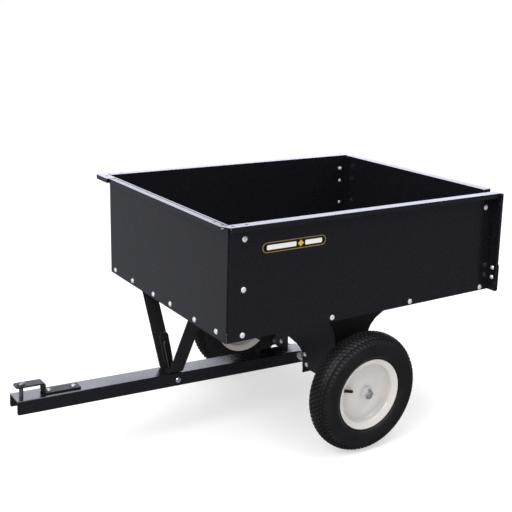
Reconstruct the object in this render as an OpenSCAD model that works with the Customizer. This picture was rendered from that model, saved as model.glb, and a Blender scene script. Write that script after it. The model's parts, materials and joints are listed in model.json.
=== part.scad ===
// Tow behind garden dump cart: steel bed on two pneumatic wheels, with a
// sloped channel tongue, a spring-held dump latch and a lift-out tailgate.
// Millimetres. +X points forward along the tongue, +Y to the cart's left,
// Z up from the ground; the origin is under the middle of the bounding box.

/* [Bed] */
// Inside-to-outside length of the bed, front wall to rear wall
bed_length = 1041; // [900:1:1150]
// Bed width over the side walls
bed_width = 794; // [760:1:860]
// Bed height, bottom edge to rim
bed_height = 343; // [300:1:420]
// Height of the bed's bottom edge above the ground
bed_z = 475; // [470:1:520]
// Sheet thickness of the bed panels
sheet = 2; // [1.5:0.1:2.4]
// Width of the side rim flanges
side_rim = 30; // [24:1:34]
// Depth of the folded rim lips
lip = 15; // [8:1:18]

/* [Wheels and axle] */
// Tyre outside diameter (4.80/4.00-8 tyre)
tyre_d = 403; // [400:1:410]
// Distance between the two wheel centre planes
track = 760; // [760:1:790]
// Axle diameter
axle_d = 19; // [16:0.5:20]
// Turn angle of the left wheel's valve
valve_deg = 16; // [0:1:359]

/* [Tongue] */
// Tongue length from its front end to behind the axle
tongue_length = 1049; // [950:1:1100]
// Tongue channel width
tongue_width = 71; // [60:1:71]
// Tongue channel height
tongue_height = 44; // [40:1:46]
// Upward slope of the tongue in degrees
tongue_deg = 2.29; // [2:0.01:2.4]

/* [Hitch] */
// Hitch pin diameter
pin_d = 12.7; // [10:0.1:14]
// Clear height between tongue and strap
clevis_gap = 33; // [28:1:36]

/* [Hidden] */

BLACK = [0.11,0.11,0.12];
MATTE = [0.15,0.15,0.15];
ZINC = [0.75,0.76,0.78];
CREAM = [0.87,0.86,0.82];
RUBBER = [0.07,0.07,0.07];
STEEL = [0.62,0.63,0.65];
GOLD = [0.78,0.62,0.30];

// Bed; x is measured from the axle throughout
front_x = 532;                  // front face of the front wall
rear_x = front_x - bed_length;  // rear edge of the side walls, at the rim
side_y = bed_width/2;           // outer face of the side walls
top_z = bed_z + bed_height;
panel_drop = 5;                 // front wall hangs this far below the floor
front_rim = 28;                 // front rim flange width
corner_cut = 24;                // cut-off rim corner
tilt = 2.4;                     // slope of the rear edge, its foot furthest back
foot_x = rear_x - bed_height*tan(tilt);
rear_flange = 39;               // width of the side panels' rear flanges
flange_h = 22;                  // height of the floor's upturned flanges
corner_x = front_x + front_rim + 7;  // front end of the right rim's corner plate
corner_y = side_y - 56;              // inner end of that plate

// Wheels and axle
tyre_r = tyre_d/2;
axle_z = tyre_r;
axle_r = axle_d/2;
axle_gap = 0.06;                // radial running clearance
wheel_y = track/2;
hub_y = wheel_y - 5.5;          // middle of the hub
axle_end = hub_y + 46.5;
cotter_y = axle_end - 5;

// Tongue
tongue_z = 216.6 + (tyre_r - 201.5);  // tongue top over the axle
tongue_round = 7;               // rounding of the flanges' front corners
tongue_rear = -25;
tongue_front = tongue_length + tongue_rear;
tongue_y = tongue_width/2;
tongue_wall = 3;
tongue_inner = tongue_y - tongue_wall;

// Tailgate
gate_rim = 29;
gate_inset = 4;
gate_x = rear_x + gate_inset;   // rear face of the tailgate sheet
gate_top = top_z - (gate_rim - gate_inset)*sin(tilt) - 0.02;  // before tilting

// Ends of the whole cart, and the shift that centres it on the origin
min_x = rear_x + (gate_inset - gate_rim)*cos(tilt) - (top_z - gate_top + lip)*sin(tilt);
max_x = tongue_front*cos(tongue_deg) + tongue_height*sin(tongue_deg)
  + tongue_round*(1 - cos(tongue_deg) - sin(tongue_deg));
shift_x = -(min_x + max_x)/2;

// Hitch and latch
pin_x = 1001;
pin_hole_r = pin_d/2 + 0.35;
hitch_bolt_x = [838,918];
strap_t = 5;                    // hitch strap and latch stand thickness
strap_y = 19;                   // half the hitch strap's width
latch_x = 491;                  // latch cross bolt
latch_z = axle_z + 9.5;
slot_y = [-20,-2.6];            // lever slot in the tongue and the stand
lever_deg = 11;                 // forward lean of the lever
lever_bolt_z = 144;
stand_w = 50;
stand_x = 474;                  // rear edge of the latch stand
stand_bolt_x = stand_x + stand_w/2;
stand_bolt_y = 184;

// Plates under the bed
plate = 3;                      // their thickness
plate_x = 61;                   // outer faces of the front and rear supports
plate_inner = plate_x - plate;
support_flange = 31;            // width of the supports' top flanges
side_plate_y = 303;             // outer face of the side plates
support_y = side_plate_y - plate - 0.1;
hanger_y = 128;                 // inner face of the axle hangers
tab_z = 251;                    // bolt in the supports' middle tab

// Fasteners
bolt_r = 4;
bolt_hole_r = bolt_r + 0.25;
rivet_r = 2.5;
rivet_x = rear_x + 36;
rivet_z = [top_z-101, top_z-191];
bracket_t = 2.5;
bracket_bolt_y = side_y + 16;
bracket_bolt_z = [bed_z+46, bed_z+80];
screw_r = 3;
gusset_t = 2.5;
side_support_x = [-165,-70,30,105];
side_support_y = 320;
support_bolt_x = plate_x + 13;
support_bolt_y = [-250,-90,90,250];

// Front wall bolts: y, height above bed_z
front_points = [[-358,11],[-219,11],[-62,9.5],[56,12.5],[212,11],[340,16]];
// Side wall bolts: x, z
front_corner_points = [[478,bed_z+150],[478,top_z-45]];
side_floor_points = [[478,bed_z+13],[155,bed_z+11],[-162,bed_z+11]];
guide_points = [[rear_x+27,bed_z+11],[rear_x+36,top_z-51]];
side_points = concat(side_floor_points, front_corner_points, guide_points);
// Floor bolts: x, y, thickness of the part under the floor
floor_points = concat(
  [for (x = [support_bolt_x,-support_bolt_x], y = support_bolt_y) [x,y,plate]],
  [for (side = [-1,1], x = side_support_x) [x,side*side_support_y,plate]],
  [for (side = [-1,1]) [stand_bolt_x,side*stand_bolt_y,strap_t]]);
// Axle hanger bolts: y, z
hanger_points = [[143,254],[155,221]];
// Rim corner screws: x, y. The first ones go through the front panel's rim,
// the rest through the side panel's.
function rim_points(side) = [[front_x+13,side > 0 ? side_y-53 : side_y-65],
  [front_x+13,side_y-12],[front_x-6,side_y+13],[front_x-50,side_y+13]];
function front_screws(side) = side > 0 ? 2 : 1;

// ---- placement and shape helpers ----------------------------------------
// side is 1 for the left and -1 for the right
module centred() translate([shift_x,0,0]) children();
module on_tongue() centred() translate([0,0,tongue_z]) rotate([0,-tongue_deg,0]) children();
module on_rear_edge() translate([rear_x,0,top_z]) rotate([0,tilt,0])
  translate([-rear_x,0,-top_z]) children();
module on_lever() centred() translate([latch_x,0,latch_z]) rotate([0,lever_deg,0]) children();
// wheel parts are drawn around Z, outer face up, then laid on the axle
module on_wheel(side) centred() on_side(side)
  translate([0,wheel_y,axle_z]) rotate([-90,0,0]) children();
module on_side(side) {
  if (side > 0) children();
  else mirror([0,1,0]) children();
}
module both_sides() for (side = [-1,1]) on_side(side) children();

module box(low, high) translate(low) cube([high[0]-low[0], high[1]-low[1], high[2]-low[2]]);
// outline in x, z; the plate reaches from y towards the right
module plate_xz(y, thick) translate([0,y,0]) rotate([90,0,0]) linear_extrude(thick) children();
// outline in y, z; the plate reaches from x towards the rear
module plate_yz(x, thick) translate([x,0,0]) rotate([90,0,-90]) mirror([1,0,0])
  linear_extrude(thick) children();
// half an outline, then its mirror image in reverse order
function doubled(half, flip) = concat(half,
  [for (i = [len(half)-1:-1:0]) [half[i][0]*flip[0], half[i][1]*flip[1]]]);

module hole_z(x, y, z0, z1, r = bolt_hole_r)
  translate([x,y,z0]) cylinder(r = r, h = z1-z0, $fn = 36);
module hole_x(y, z, x0, x1, r = bolt_hole_r)
  translate([x0,y,z]) rotate([0,90,0]) cylinder(r = r, h = x1-x0, $fn = 36);
module hole_y(x, z, y0, y1, r = bolt_hole_r)
  translate([x,y1,z]) rotate([90,0,0]) cylinder(r = r, h = y1-y0, $fn = 36);
module wall_hole(point) hole_y(point[0],point[1],side_y-10,side_y+5);
module rivet_holes() on_rear_edge() for (z = rivet_z)
  hole_y(rivet_x,z,side_y-10,side_y+5,rivet_r+0.1);
module front_holes() for (p = front_points)
  hole_x(p[0],bed_z+p[1],front_x-10,front_x+5);
// countersink for a rim screw
module sink(point) translate([point[0],point[1],top_z]) rotate_extrude($fn = 40)
  polygon([[0,1],[5.5,1],[5.5,0],[3.3,-1.7],[3.3,-6],[0,-6]]);
// ring around the axle
module ring_y(y0, y1, outer_r, inner_r) translate([0,y1,axle_z]) rotate([90,0,0]) difference() {
  cylinder(r = outer_r, h = y1-y0, $fn = 48);
  translate([0,0,-1]) cylinder(r = inner_r, h = y1-y0+2, $fn = 48);
}

// ---- fasteners ----------------------------------------------------------
// round-headed bolt: the head sits on z = 0 and points up, shank goes down
module dome_bolt(grip, r = bolt_r, head_r = 8.5, head_h = 4.6) {
  rotate_extrude($fn = 40) polygon([
    [0,head_h],[head_r*0.35,head_h*0.95],[head_r*0.62,head_h*0.78],
    [head_r*0.84,head_h*0.5],[head_r,head_h*0.16],[head_r,0],
    [r,0],[r,-grip-9],[r-0.8,-grip-9.8],[0,-grip-9.8]]);
  nut(-grip, r);
}
// hex nut hanging below z, bored for the shank
module nut(z, r) translate([0,0,z-6.4]) difference() {
  cylinder(r = r*1.88, h = 6.4, $fn = 6);
  translate([0,0,-1]) cylinder(r = r+0.04, h = 9, $fn = 36);
}
// hex-headed bolt with a flanged head on z = 0 and a washer over the nut
module hex_bolt(grip, r, head_h, tail) {
  cylinder(r = r*1.88, h = head_h, $fn = 6);
  translate([0,0,-0.01]) cylinder(r = r*2.2, h = 1.6, $fn = 40);
  translate([0,0,-grip-tail]) cylinder(r = r, h = grip+tail, $fn = 36);
  nut(-grip-1, r);
  translate([0,0,-grip-1]) difference() {
    cylinder(r = r*2.1, h = 1, $fn = 40);
    translate([0,0,-1]) cylinder(r = r+0.04, h = 3, $fn = 36);
  }
}

// ---- tongue -------------------------------------------------------------
// channel, open below
module tongue_beam() color(BLACK) difference() {
  on_tongue() difference() {
    box([tongue_rear,-tongue_y,-tongue_height],[tongue_front,tongue_y,0]);
    box([tongue_rear-1,-tongue_inner,-tongue_height-1],
      [tongue_front+1,tongue_inner,-tongue_wall]);
    for (side = [-1,1]) {
      fold_chamfer(side);
      front_rounding(side);
    }
    hole_z(pin_x,0,-10,5,pin_hole_r);
    for (x = hitch_bolt_x) hole_z(x,0,-10,5);
    box([latch_x-16,slot_y[0],-10],[latch_x+27,slot_y[1],5]);
  }
  centred() hole_y(0,axle_z,-tongue_y-1,tongue_y+1,axle_r+axle_gap);
  centred() hole_y(latch_x,latch_z,-tongue_y-1,tongue_y+1,5.2);
}
// cutter for the small chamfer along a folded edge
module fold_chamfer(side) translate([tongue_rear-1,side*tongue_y,0]) rotate([45,0,0])
  translate([0,-1.1,-1.1]) cube([tongue_front-tongue_rear+2,2.2,2.2]);
// cutter for a flange's lower front corner
module front_rounding(side)
  translate([tongue_front-tongue_round,side*(tongue_y-tongue_wall/2),-tongue_height+tongue_round])
  rotate([90,0,0]) difference() {
    translate([0,-tongue_round-1,-tongue_wall])
      cube([tongue_round+1,tongue_round+1,2*tongue_wall]);
    translate([0,0,-tongue_wall-1])
      cylinder(r = tongue_round, h = 2*tongue_wall+2, $fn = 64);
  }

// strap bolted to the tongue and stepped up over it
module hitch_strap() color(MATTE) on_tongue() difference() {
  plate_xz(strap_y, 2*strap_y) polygon([
    [820,0.03],[931,0.03],[935,1.5],[936.5,5],[936.5,clevis_gap-4],
    [938,clevis_gap-1.2],[941.5,clevis_gap],[1021,clevis_gap],
    [1021,clevis_gap+strap_t],[940,clevis_gap+strap_t],[935,clevis_gap+3.6],
    [932.2,clevis_gap],[931.5,clevis_gap-5],[931.5,9],[930.4,6],[928,5],[820,5]]);
  hole_z(pin_x,0,clevis_gap-5,clevis_gap+10,pin_hole_r);
  for (x = hitch_bolt_x) hole_z(x,0,-5,10);
  for (side = [-1,1]) translate([1021,side*strap_y,clevis_gap-5]) rotate([0,0,45])
    translate([-4,-4,0]) cube([8,8,15]);
}
module hitch_bolts() color(ZINC) on_tongue() for (x = hitch_bolt_x)
  translate([x,0,strap_t]) dome_bolt(strap_t+tongue_wall+0.03);

module hitch_pin() color(ZINC) on_tongue() translate([pin_x,0,clevis_gap+strap_t+0.02])
  rotate_extrude($fn = 48) polygon([
    [0,8],[4,7.9],[8,7],[10.6,5.2],[12,2.6],[12,0.8],[11.2,0],[pin_d/2,0],
    [pin_d/2,-clevis_gap-32],[pin_d/2-3,-clevis_gap-36],[0,-clevis_gap-36]]);

module latch_bolt() color(ZINC) centred() translate([latch_x,tongue_y,latch_z])
  rotate([-90,0,0]) dome_bolt(2*tongue_y, r = 5, head_r = 9.6, head_h = 5.4);

// tube on the axle inside the tongue, flattened under the tongue's top
module pivot_sleeve() color(STEEL) difference() {
  centred() ring_y(-tongue_inner+0.2,tongue_inner-0.2,axle_r+4,axle_r+axle_gap);
  on_tongue() translate([-40,-tongue_y,-tongue_wall-0.04]) cube([80,2*tongue_y,20]);
}

// ---- dump latch ---------------------------------------------------------
module latch_lever() color(MATTE) on_lever() difference() {
  plate_xz(-10, 6) polygon([
    [-12,-8],[-8,-12],[0,-14],[8,-12],[12,-8],[13,4],[14,22],[15,50],[15,146],
    [14,151],[11,156],[6.5,159],[0,160],[-6.5,159],[-11,156],[-14,151],[-15,146],
    [-15,62],[-14,54],[-12,50],[-9.5,49],[-9.5,20],[-12,10]]);
  hole_y(0,0,-20,0,5.12);
  hole_y(0,lever_bolt_z,-20,0,4.2);
}
module lever_bolt() color(ZINC) on_lever() translate([0,-9.98,lever_bolt_z])
  rotate([-90,0,0]) hex_bolt(6.02, r = 4, head_h = 5.4, tail = 9.4);

// rings side by side on the cross bolt, with a long leg up the lever's left side
module latch_spring() color(STEEL) on_lever() {
  wire_r = 1.5;
  coil_r = 7.6;
  coil_y = -5.8;
  for (i = [0:5]) translate([0,coil_y+i*2.7,0]) rotate([90,0,0])
    rotate_extrude($fn = 40) translate([coil_r,0]) circle(r = wire_r, $fn = 20);
  translate([coil_r,coil_y,0]) cylinder(r = wire_r, h = 128, $fn = 20);
  translate([coil_r,coil_y,126]) rotate([0,-60,0]) cylinder(r = wire_r, h = 6, $fn = 20);
}

// V strap: the bed's front prop, resting on the tongue when the bed is down
stand_z = tongue_z + 21.6;      // underside of the strap on the tongue
// left half of the strap's outline: y, z
stand_half = [[29,stand_z],[33,stand_z+1.2],[36.4,stand_z+4.4],
  [164.6,bed_z-7.6],[166.8,bed_z-5.9],[169.5,bed_z-5],
  [202,bed_z-5],[202,bed_z],[166,bed_z],[162.6,bed_z-1.2],[160.2,bed_z-4.2],
  [32.6,stand_z+7.8],[30.6,stand_z+5.8],[27.6,stand_z+5]];
module latch_stand() color(MATTE) centred() difference() {
  plate_yz(stand_x+stand_w, stand_w) polygon(doubled(stand_half, [-1,1]));
  box([latch_x-12,slot_y[0],200],[stand_x+stand_w+1,slot_y[1],260]);
  for (side = [-1,1]) hole_z(stand_bolt_x,side*stand_bolt_y,bed_z-10,bed_z+1);
}

// ---- bed ----------------------------------------------------------------
module bed_floor() color(BLACK) centred() difference() {
  union() {
    box([foot_x+0.4,-side_y+sheet+0.02,bed_z],
      [front_x-sheet-0.02,side_y-sheet-0.02,bed_z+sheet]);
    // upturned flanges
    box([front_x-2*sheet,-side_y+2*sheet+1,bed_z],
      [front_x-sheet-0.02,side_y-2*sheet-1,bed_z+flange_h]);
    both_sides() box([rear_x+60,side_y-2*sheet,bed_z],
      [front_x-2*sheet,side_y-sheet-0.02,bed_z+flange_h]);
  }
  front_holes();
  both_sides() for (p = side_floor_points) wall_hole(p);
  for (p = floor_points) hole_z(p[0],p[1],bed_z-5,bed_z+10);
}

module front_panel() color(BLACK) centred() difference() {
  rim_end = -corner_y + 0.6;    // right end of the rim
  union() {
    box([front_x-sheet,-side_y+sheet,bed_z-panel_drop],[front_x,side_y-sheet,top_z]);
    // flanges against the side walls
    both_sides() box([front_x-75,side_y-2*sheet,bed_z+26],
      [front_x-sheet+0.01,side_y-sheet,top_z-sheet]);
    // rim flange with its left corner cut off, and its lip
    translate([0,0,top_z-sheet]) linear_extrude(sheet) polygon([
      [front_x-sheet,rim_end],[front_x+front_rim,rim_end],
      [front_x+front_rim,side_y+front_rim-corner_cut-2],[front_x+19.7,side_y+14.9],
      [front_x+0.3,side_y-0.3],[front_x-sheet,side_y-sheet]]);
    box([front_x+front_rim-sheet,rim_end,top_z-lip],
      [front_x+front_rim,side_y-2,top_z-sheet+0.01]);
  }
  front_holes();
  both_sides() for (p = front_corner_points) wall_hole(p);
  for (side = [-1,1]) on_side(side)
    for (i = [0:front_screws(side)-1]) sink(rim_points(side)[i]);
}

module side_panel(side) color(BLACK) centred() on_side(side) difference() {
  rim_y = side_y + side_rim;    // outer edge of the rim
  union() {
    plate_xz(side_y, sheet) polygon([[rear_x,top_z],[foot_x,bed_z],
      [front_x-4,bed_z-panel_drop+1],[front_x-4,top_z]]);
    // rim flange: mitred at the left front corner, squared over the right one
    translate([0,0,top_z-sheet]) linear_extrude(sheet) polygon(concat(
      [[rear_x,side_y-sheet],[front_x-4,side_y-sheet],[front_x-4,side_y-0.4]],
      side > 0 ?
        [[front_x-0.4,side_y],[front_x+19.2,side_y+15.7],
          [front_x+11,rim_y-1],[front_x+10,rim_y]] :
        [[front_x+0.3,side_y-0.4],[front_x+0.3,corner_y],[corner_x-1,corner_y],
          [corner_x,corner_y+1],[corner_x,rim_y-1],[corner_x-1,rim_y]],
      [[rear_x+0.5,rim_y],[rear_x,rim_y]]));
    // rim lips
    box([rear_x+1,rim_y-sheet,top_z-lip],
      [side > 0 ? front_x+8 : corner_x-1.2,rim_y,top_z-sheet+0.01]);
    if (side < 0) {
      box([corner_x-sheet,corner_y,top_z-lip],[corner_x,rim_y-1.2,top_z-sheet+0.01]);
      box([front_x+front_rim-sheet,corner_y,top_z-lip],
        [corner_x,corner_y+sheet,top_z-sheet+0.01]);
    }
    on_rear_edge() rear_flange_shape();
  }
  for (p = side_points) wall_hole(p);
  rivet_holes();
  on_rear_edge() for (z = bracket_bolt_z) hole_x(bracket_bolt_y,z,rear_x-5,rear_x+10);
  for (i = [front_screws(side):3]) sink(rim_points(side)[i]);
}
// rear flange with a rounded lower corner and a folded lip
module rear_flange_shape() {
  round_r = 22;
  flange_y = side_y + rear_flange;
  plate_yz(rear_x+sheet, sheet) difference() {
    translate([side_y-sheet,bed_z]) square([rear_flange+sheet,bed_height]);
    difference() {
      translate([flange_y-round_r,bed_z-1]) square([round_r+1,round_r+1]);
      translate([flange_y-round_r,bed_z+round_r]) circle(r = round_r, $fn = 64);
    }
  }
  box([rear_x,flange_y-sheet,bed_z+24],[rear_x+10,flange_y,top_z-0.5]);
}
module left_panel() side_panel(1);
module right_panel() side_panel(-1);

module front_bolts() color(ZINC) centred() for (p = front_points)
  translate([front_x,p[0],bed_z+p[1]]) rotate([0,90,0]) dome_bolt(2*sheet);
module side_bolts(side) color(ZINC) centred() on_side(side) for (p = side_points)
  translate([p[0],side_y,p[1]]) rotate([-90,0,0]) dome_bolt(2*sheet);
module left_bolts() side_bolts(1);
module right_bolts() side_bolts(-1);
module floor_bolts() color(ZINC) centred() for (p = floor_points)
  translate([p[0],p[1],bed_z+sheet]) dome_bolt(sheet+p[2], head_r = 8, head_h = 2.6);

// vertical channels the tailgate slides in
module gate_guide(side) color(BLACK) centred() on_side(side) difference() {
  low_z = bed_z + sheet + 4;
  high_z = top_z - 7;
  on_rear_edge() {
    box([rear_x,side_y-2*sheet,low_z],[rear_x+54,side_y-sheet-0.02,high_z]);
    for (x = [rear_x,rear_x+8])
      box([x,side_y-20,low_z],[x+sheet,side_y-2*sheet+0.01,high_z]);
  }
  for (p = guide_points) wall_hole(p);
  rivet_holes();
}
module left_gate_guide() gate_guide(1);
module right_gate_guide() gate_guide(-1);
// rivets: flush outside, button head inside
module guide_rivets() color(ZINC) centred() both_sides() on_rear_edge() for (z = rivet_z)
  translate([rivet_x,side_y-2*sheet,z]) rotate([90,0,0]) rotate_extrude($fn = 36)
    polygon([[0,-2*sheet],[rivet_r,-2*sheet],[rivet_r,0],[6.5,0],[6,1.4],[4,2.8],[0,3.4]]);

// round-cornered plate on the rear flange's rear face
module gate_bracket(side) color(BLACK) centred() on_side(side) on_rear_edge() difference() {
  plate_yz(rear_x, bracket_t) union() {
    translate([side_y-26,bed_z+8]) square([67,82]);
    translate([side_y-14,bed_z-2]) square([43,102]);
    for (y = [side_y-14,side_y+29], z = [bed_z+10,bed_z+88])
      translate([y,z]) circle(r = 12, $fn = 48);
  }
  for (z = bracket_bolt_z) hole_x(bracket_bolt_y,z,rear_x-10,rear_x+5);
}
module left_gate_bracket() gate_bracket(1);
module right_gate_bracket() gate_bracket(-1);
module bracket_bolts() color(ZINC) centred() on_rear_edge()
  for (side = [-1,1], z = bracket_bolt_z)
    translate([rear_x+sheet,side*bracket_bolt_y,z]) rotate([0,90,0])
      dome_bolt(sheet+bracket_t, head_r = 7.6, head_h = 4.2);

// L plate under the rim's front corner
module rim_gusset(side) color(BLACK) centred() on_side(side) difference() {
  outer_x = front_x + front_rim - sheet - 2;
  outer_y = side_y + side_rim - sheet - 2;
  translate([0,0,top_z-sheet-gusset_t]) linear_extrude(gusset_t) polygon([
    [front_x+2,side_y-80],[outer_x,side_y-80],[outer_x,side_y-2],[front_x+2,outer_y],
    [front_x-68,outer_y],[front_x-68,side_y+2],[front_x+2,side_y+2]]);
  for (p = rim_points(side)) hole_z(p[0],p[1],top_z-10,top_z+5,screw_r+0.3);
}
module left_rim_gusset() rim_gusset(1);
module right_rim_gusset() rim_gusset(-1);
// flush countersunk screws, nuts under the gusset
module at_rim_screws() centred() for (side = [-1,1], p = rim_points(side))
  translate([p[0],side*p[1],top_z]) children();
module rim_bolts() color(MATTE) at_rim_screws() rotate_extrude($fn = 40) polygon([
  [0,-0.5],[2,-0.5],[2.6,-0.02],[5.2,-0.02],[screw_r,-1.6],
  [screw_r,-sheet-12],[2.4,-sheet-12.6],[0,-sheet-12.6]]);
module rim_nuts() color(ZINC) at_rim_screws() nut(-sheet-gusset_t-0.02, screw_r);

// ---- running gear under the bed -----------------------------------------
// left half of a support's outline: y, z; arched below, with a middle tab
support_half = [[32,225],[37,230],[37,285],[62,282],[92,276],[112,268],[124,259],
  [130,248],[130,207],[support_y,207],[support_y,bed_z-plate]];
// cross plate with a top flange; end is 1 for the front and -1 for the rear
module support(end) color(MATTE) centred() difference() {
  flange_x = end > 0 ? plate_inner : -plate_inner-support_flange;
  union() {
    plate_yz(end > 0 ? plate_x : -plate_inner, plate)
      polygon(doubled(support_half, [-1,1]));
    box([flange_x,-support_y,bed_z-plate],[flange_x+support_flange,support_y,bed_z]);
  }
  for (y = support_bolt_y) hole_z(end*support_bolt_x,y,bed_z-10,bed_z+1);
  for (p = hanger_points, side = [-1,1])
    hole_x(side*p[0],p[1],end*plate_x-5,end*plate_x+5);
  hole_x(0,tab_z,end*plate_x-5,end*plate_x+5);
}
module support_front() support(1);
module support_rear() support(-1);

// upright plate carrying the axle, with a flange under the floor
module side_plate(side) color(MATTE) centred() on_side(side) difference() {
  union() {
    plate_xz(side_plate_y, plate) polygon([
      [-30,axle_z-25],[30,axle_z-25],[50,axle_z-16],[60,axle_z],[60,330],[66,378],
      [76,404],[92,428],[116,450],[150,bed_z-6],[150,bed_z],[-215,bed_z],
      [-215,bed_z-6],[-172,450],[-139,430],[-104,410],[-84,388],[-72,360],
      [-60,330],[-60,axle_z],[-50,axle_z-16]]);
    box([-215,side_plate_y-plate,bed_z-plate],[150,337,bed_z]);
  }
  hole_y(0,axle_z,290,310,axle_r+0.02);
  for (x = side_support_x) hole_z(x,side_support_y,bed_z-10,bed_z+1);
}
module left_side_plate() side_plate(1);
module right_side_plate() side_plate(-1);

// inner axle hangers, bolted between the front and rear support plates
module axle_hanger(side) color(MATTE) centred() on_side(side) difference() {
  union() {
    box([-plate_inner,hanger_y,axle_z-20],[plate_inner,hanger_y+plate,300]);
    for (x = [-plate_inner,plate_inner-plate])
      box([x,hanger_y+plate-0.01,207],[x+plate,168,300]);
  }
  hole_y(0,axle_z,120,140,axle_r+0.02);
  for (end = [-1,1], p = hanger_points) hole_x(p[0],p[1],end*plate_x-10,end*plate_x+10);
}
module left_axle_hanger() axle_hanger(1);
module right_axle_hanger() axle_hanger(-1);

// bolt through a support plate, head outward
module support_bolt(end, y, z, grip) translate([end*plate_x,y,z]) rotate([0,end*90,0])
  dome_bolt(grip, head_r = 8, head_h = 4.4);
module hanger_bolts() color(ZINC) centred()
  for (side = [-1,1], end = [-1,1], p = hanger_points)
    support_bolt(end, side*p[0], p[1], 2*plate);
module tab_bolts() color(ZINC) centred() for (end = [-1,1]) support_bolt(end, 0, tab_z, plate);

// round-ended plate with a raised border, on the left wall
module badge_plate() color(GOLD) centred() difference() {
  badge_slab(0, side_y, side_y+1.4);
  badge_slab(2.2, side_y+0.8, side_y+3);
}
module badge_slab(inset, y0, y1) {
  rear = 196;
  front = 419;
  low = top_z - 94.6;
  high = top_z - 64;
  round_r = 15.2;
  box([rear+round_r,y0,low+inset],[front-round_r,y1,high-inset]);
  box([rear+inset,y0,low+round_r],[front-inset,y1,high-round_r]);
  for (x = [rear+round_r,front-round_r], z = [low+round_r,high-round_r])
    translate([x,y1,z]) rotate([90,0,0]) cylinder(r = round_r-inset, h = y1-y0, $fn = 64);
}

// ---- axle and its hardware ----------------------------------------------
module axle() color(STEEL) centred() difference() {
  translate([0,axle_end,axle_z]) rotate([90,0,0]) rotate_extrude($fn = 64) polygon([
    [0,0],[axle_r-1.5,0],[axle_r,1.5],[axle_r,2*axle_end-1.5],
    [axle_r-1.5,2*axle_end],[0,2*axle_end]]);
  for (side = [-1,1]) hole_z(0,side*cotter_y,axle_z-20,axle_z+20,1.75);
}
module wheel_spacers() color(STEEL) centred() both_sides()
  ring_y(side_plate_y+0.1,hub_y-48.3,axle_r+5,axle_r+0.05);
// collars beside the tongue, each with a set screw hole on top
module axle_collars() color(ZINC) centred() both_sides() difference() {
  ring_y(tongue_y+0.5,tongue_y+12.5,axle_r+7,axle_r+0.02);
  translate([0,tongue_y+6.5,axle_z+axle_r+1]) cylinder(r = 2.5, h = 10, $fn = 24);
}
module axle_washers() color(ZINC) centred() both_sides()
  for (y = [hub_y-48,hub_y+33.3]) ring_y(y,y+2.7,20,axle_r+0.1);
// castle nuts
module axle_nuts() color(ZINC) centred() both_sides()
  translate([0,hub_y+36.1,axle_z]) rotate([-90,0,0]) difference() {
    union() {
      cylinder(r = 16, h = 3.6, $fn = 6);
      cylinder(r = 13.6, h = 8.4, $fn = 48);
    }
    translate([0,0,-1]) cylinder(r = axle_r+0.06, h = 12, $fn = 48);
    for (a = [30,90,150]) rotate([0,0,a]) translate([-20,-2.1,3.4]) cube([40,4.2,8]);
  }
module cotter_pins() color(STEEL) centred() both_sides() translate([0,cotter_y,axle_z]) {
  translate([0,0,-18]) cylinder(r = 1.6, h = 34, $fn = 24);
  translate([0,0,18.5]) rotate([90,0,0]) rotate_extrude($fn = 32)
    translate([3.4,0]) circle(r = 1.5, $fn = 16);
}

// ---- tailgate -----------------------------------------------------------
module tailgate() color(BLACK) centred() on_rear_edge() {
  left = side_y - 42;           // ends of the rolled top
  right = -side_y + 8;
  low_z = bed_z + sheet + 1;
  rim_x = gate_x - gate_rim;
  lip_z = gate_top - lip;
  box([gate_x,-side_y+6,low_z],[gate_x+sheet,side_y-6,top_z-12]);
  box([gate_x,right,low_z],[gate_x+sheet,left,gate_top]);
  // rim flange, rear lip and end lips
  box([rim_x,right,gate_top-sheet],[gate_x+0.01,left,gate_top]);
  box([rim_x,right,lip_z],[rim_x+sheet,left,gate_top]);
  box([rim_x,left-sheet,lip_z],[gate_x+0.01,left,gate_top-sheet+0.01]);
  box([rim_x,right,lip_z],[rear_x-1,right+sheet,gate_top-sheet+0.01]);
  // bottom flange
  box([gate_x-14,-side_y+34,low_z],[gate_x+0.01,side_y-34,low_z+sheet]);
}

// ---- wheels -------------------------------------------------------------
// outer half of the tyre's section, inside then outside: radius, height
tyre_half = [
  [190,15],[186,26],[180,32.6],[172,37.4],[162,40.2],[152,41],[140,39.2],[126,33],
  [112,27.5],[103.2,25.5],[103.2,31.3],[104.4,33.3],[106.8,34.1],[119,34.1],
  [121.5,37.4],[127,41.4],[134,45.6],[143,48.2],[152,48.8],[162,48],[172,45.3],
  [180,41.3],[tyre_r-14.5,36],[tyre_r-9.5,30.4],[tyre_r-5.5,24.2],
  [tyre_r-2.5,17.1],[tyre_r-0.7,9.8],[tyre_r,4]];
module tyre(side) color(RUBBER) on_wheel(side) rotate_extrude($fn = 96)
  polygon(concat([[191.5,0]], doubled(tyre_half, [1,-1])));
module left_tyre() tyre(1);
module right_tyre() tyre(-1);

hub_r = 18;
hub_bore_r = 13;
hub_low = -42;                  // inner and outer ends of the hub tube
hub_high = 30;
valve_z = 18;
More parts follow.
